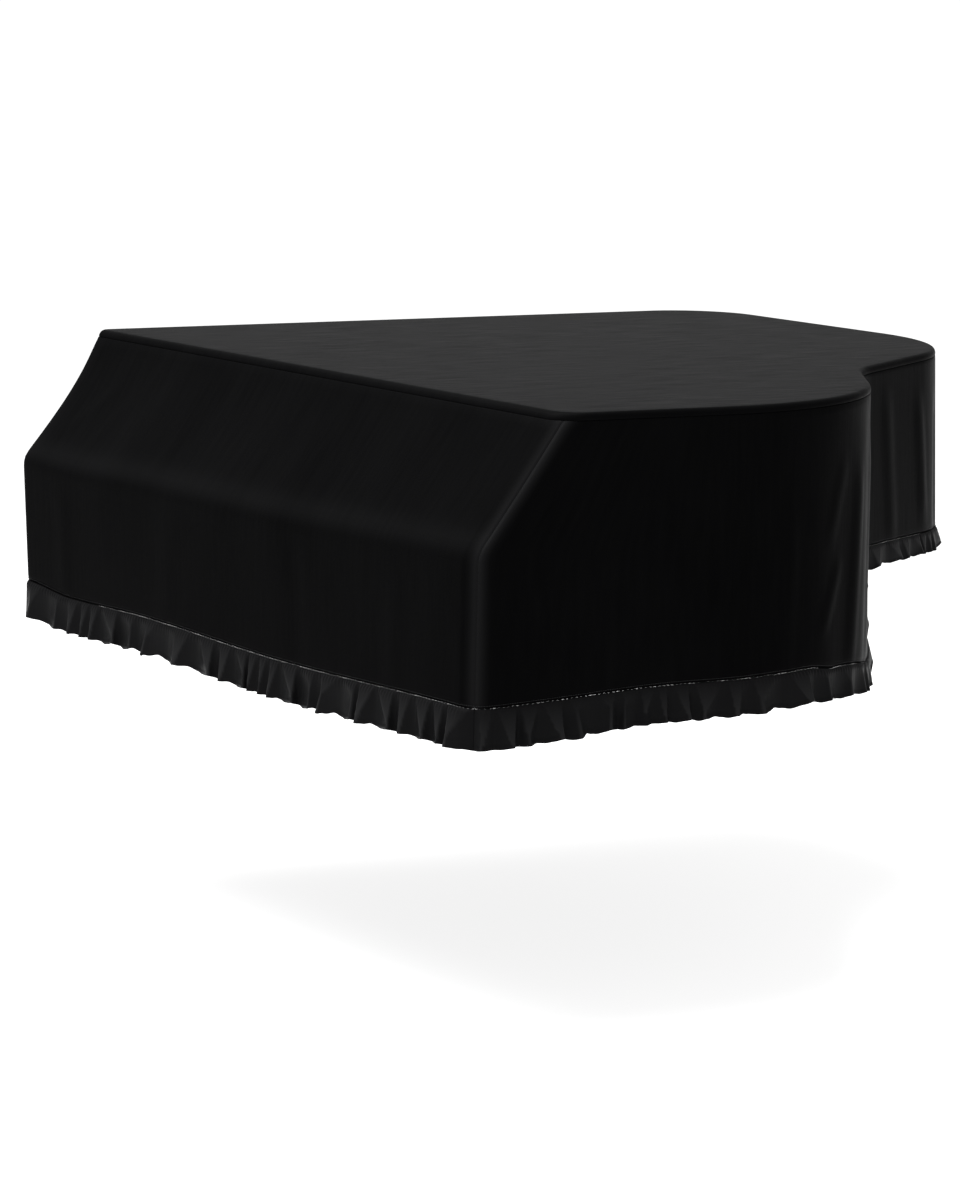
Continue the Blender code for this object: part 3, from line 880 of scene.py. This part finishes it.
def cloth_look(name, dark, highlight, roughness, specular):
    """Black napped cloth: a brushed pile, faint clouds where the nap lies over, a fine ground
    weave under it, and a painted highlight, lighter and a little smoother, where the mesh's
    attribute marks it."""
    n = Nodes(name)
    coords = n.add("ShaderNodeUVMap", uv_map="cloth").outputs["UV"]
    painted_light = n.add("ShaderNodeAttribute", attribute_name="painted_highlight").outputs["Fac"]
    clouds = n.noise(n.stretched(coords, (5.0, 2.2, 1.0)), 1.0, 3.0, 0.55)
    brushed = n.noise(n.stretched(coords, (95.0, 9.0, 1.0)), 1.0, 3.0, 0.6)
    pile = n.noise(coords, 820.0, 2.0, 0.6)
    threads = []
    for direction in ("Y", "X"):
        bands = {"Vector": coords, "Scale": 160.0, "Distortion": 0.6, "Detail": 1.0}
        threads.append(n.add("ShaderNodeTexWave", bands, bands_direction=direction).outputs["Fac"])
    weave = n.maths("MULTIPLY", *threads)
    lie = n.ranged(clouds, 0.3, 0.7, -0.012, 0.012)
    streaks = n.ranged(brushed, 0.3, 0.7, -0.008, 0.008)
    specks = n.ranged(pile, 0.25, 0.75, -0.012, 0.012)
    mottle = n.maths("ADD", n.maths("ADD", lie, streaks), specks)
    # painted highlight: the attribute moves the colour towards the highlight colour and lowers the
    # roughness
    share = n.maths("ADD", mottle, n.maths("MULTIPLY", painted_light, 0.9))
    share = n.maths("ADD", share, 0.02)
    n.set(n.shader, "Base Color", n.blend(share, dark, highlight))
    uneven = n.ranged(brushed, 0.3, 0.7, roughness - 0.04, roughness + 0.04)
    n.set(n.shader, "Roughness", n.maths("ADD", uneven, n.maths("MULTIPLY", painted_light, -0.08)))
    n.shader.inputs["Specular IOR Level"].default_value = specular
    height = n.maths("ADD", n.maths("MULTIPLY", pile, 0.6), n.maths("MULTIPLY", weave, 0.4))
    fine = n.add("ShaderNodeBump", {"Strength": 0.35, "Distance": 0.0004, "Height": height})
    lay = n.add(
        "ShaderNodeBump",
        {"Strength": 0.25, "Distance": 0.0012, "Height": brushed, "Normal": fine.outputs["Normal"]},
    )
    n.set(n.shader, "Normal", lay.outputs["Normal"])
    return n.material


def thread_look():
    """Black sewing thread with a fine twist."""
    n = Nodes("black_thread")
    coords = n.add("ShaderNodeTexCoord").outputs["Object"]
    bands = {"Vector": coords, "Scale": 900.0, "Distortion": 1.0}
    twist = n.add("ShaderNodeTexWave", bands, bands_direction="DIAGONAL").outputs["Fac"]
    n.set(n.shader, "Base Color", n.blend(twist, (0.008, 0.008, 0.009), (0.016, 0.016, 0.017)))
    n.set(n.shader, "Roughness", n.ranged(twist, 0.0, 1.0, 0.45, 0.6))
    n.shader.inputs["Specular IOR Level"].default_value = 0.3
    bump = n.add("ShaderNodeBump", {"Strength": 0.3, "Distance": 0.0001, "Height": twist})
    n.set(n.shader, "Normal", bump.outputs["Normal"])
    return n.material


# ======================= the pieces =======================
cover = Cover()
# each cloth: its colour, its colour where a highlight is painted, roughness, specular level
black = cloth_look("black_nap", (0.0017, 0.0017, 0.0018), (0.030, 0.030, 0.031), 0.33, 0.002)
# the ruffle's cloth is the same black nap painted lighter, as painted light for the light its folds
# catch
frill_black_painted_lighter = cloth_look("ruffle_nap_painted_lighter", (0.0055, 0.0055, 0.0058), (0.034, 0.034, 0.035), 0.38, 0.010)
thread = thread_look()

top = top_cloth(cover, black)
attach(top, "root")
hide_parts("top_panel")

for side, first, last in PANELS:
    wall = wall_cloth(cover, side, first, last, black)
    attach(wall, "root")
    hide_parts(side + "_panel")
    stitches = hem_stitches(cover, side, first, last, thread)
    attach(stitches, "root")
    frill = ruffle_cloth(cover, side, first, last, RUFFLES[side], frill_black_painted_lighter)
    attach(frill, "root")
    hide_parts(side + "_ruffle")


# ======================= stage, lights, camera =======================
FLOOR_LEVEL = -0.998
FLOOR_HALF = 60.0
FLOOR_COLOUR = 0.45
FLOOR_GLOW = 0.80
# the white all round, as a light and as the camera sees it
SKY_LIGHT = 0.60
SKY_SEEN = 1.05


def stage_look(name, colour, glow):
    """A matt grey that glows white a little."""
    n = Nodes(name)
    n.shader.inputs["Base Color"].default_value = (colour, colour, colour, 1.0)
    n.shader.inputs["Roughness"].default_value = 0.9
    n.shader.inputs["Specular IOR Level"].default_value = 0.0
    n.shader.inputs["Emission Color"].default_value = (1.0, 1.0, 1.0, 1.0)
    n.shader.inputs["Emission Strength"].default_value = glow
    return n.material


floor_mesh = bpy.data.meshes.new("studio_floor")
square = ((-1, -1), (1, -1), (1, 1), (-1, 1))
floor_corners = [(x * FLOOR_HALF, y * FLOOR_HALF, FLOOR_LEVEL) for x, y in square]
floor_mesh.from_pydata(floor_corners, [], [(0, 1, 2, 3)])
floor_mesh.materials.append(stage_look("pale_floor", FLOOR_COLOUR, FLOOR_GLOW))
floor = add_object("studio_floor", floor_mesh)

world = bpy.data.worlds.new("studio")
bpy.context.scene.world = world
world.use_nodes = True
tree = world.node_tree
tree.nodes.clear()
sky = tree.nodes.new("ShaderNodeBackground")
seen = tree.nodes.new("ShaderNodeBackground")
path = tree.nodes.new("ShaderNodeLightPath")
mix = tree.nodes.new("ShaderNodeMixShader")
out = tree.nodes.new("ShaderNodeOutputWorld")
sky.inputs["Color"].default_value = (1.0, 1.0, 1.0, 1.0)
sky.inputs["Strength"].default_value = SKY_LIGHT
seen.inputs["Strength"].default_value = SKY_SEEN
seen.inputs["Color"].default_value = (1.0, 1.0, 1.0, 1.0)
tree.links.new(path.outputs["Is Camera Ray"], mix.inputs[0])
tree.links.new(sky.outputs[0], mix.inputs[1])
tree.links.new(seen.outputs[0], mix.inputs[2])
tree.links.new(mix.outputs[0], out.inputs["Surface"])


def soft_light(name, place, aim, size, power):
    """An area light at a place, aimed at a point, with its size in metres and power in watts."""
    data = bpy.data.lights.new(name, "AREA")
    data.shape = "RECTANGLE"
    data.size, data.size_y = size
    data.energy = power
    lamp = add_object(name, data)
    lamp.location = place
    lamp.rotation_mode = "QUATERNION"
    lamp.rotation_quaternion = (Vector(aim) - Vector(place)).to_track_quat("-Z", "Y")


soft_light("overhead", (-0.8, -1.0, 4.0), (0.0, -0.1, -0.2), (4.5, 4.5), 620.0)

# the camera stands 8 m off, before the keyboard's treble end, and looks a little down. Its angles
# are a bearing from the y axis towards the bass side, a pitch downwards and a roll, in radians
LENS = 138.609
SENSOR = 36.0
CAMERA_PLACE = (6.72982636, -4.66381682, 0.772413469)
BEARING, PITCH, ROLL = 0.992454140, 0.147294461, 0.0220076299
ahead = Vector(
    (-math.sin(BEARING) * math.cos(PITCH), math.cos(BEARING) * math.cos(PITCH), -math.sin(PITCH))
)
right = Vector((math.cos(BEARING), math.sin(BEARING), 0.0))
up = right.cross(ahead)
across = math.cos(ROLL) * right + math.sin(ROLL) * up
upright = math.cos(ROLL) * up - math.sin(ROLL) * right
lens = bpy.data.cameras.new("camera")
lens.lens = LENS
lens.sensor_width = SENSOR
camera = add_object("camera", lens)
turn = Matrix((across, upright, -ahead)).transposed()
camera.matrix_world = Matrix.Translation(CAMERA_PLACE) @ turn.to_4x4()
bpy.context.scene.camera = camera
bpy.context.scene.view_settings.view_transform = "Standard"
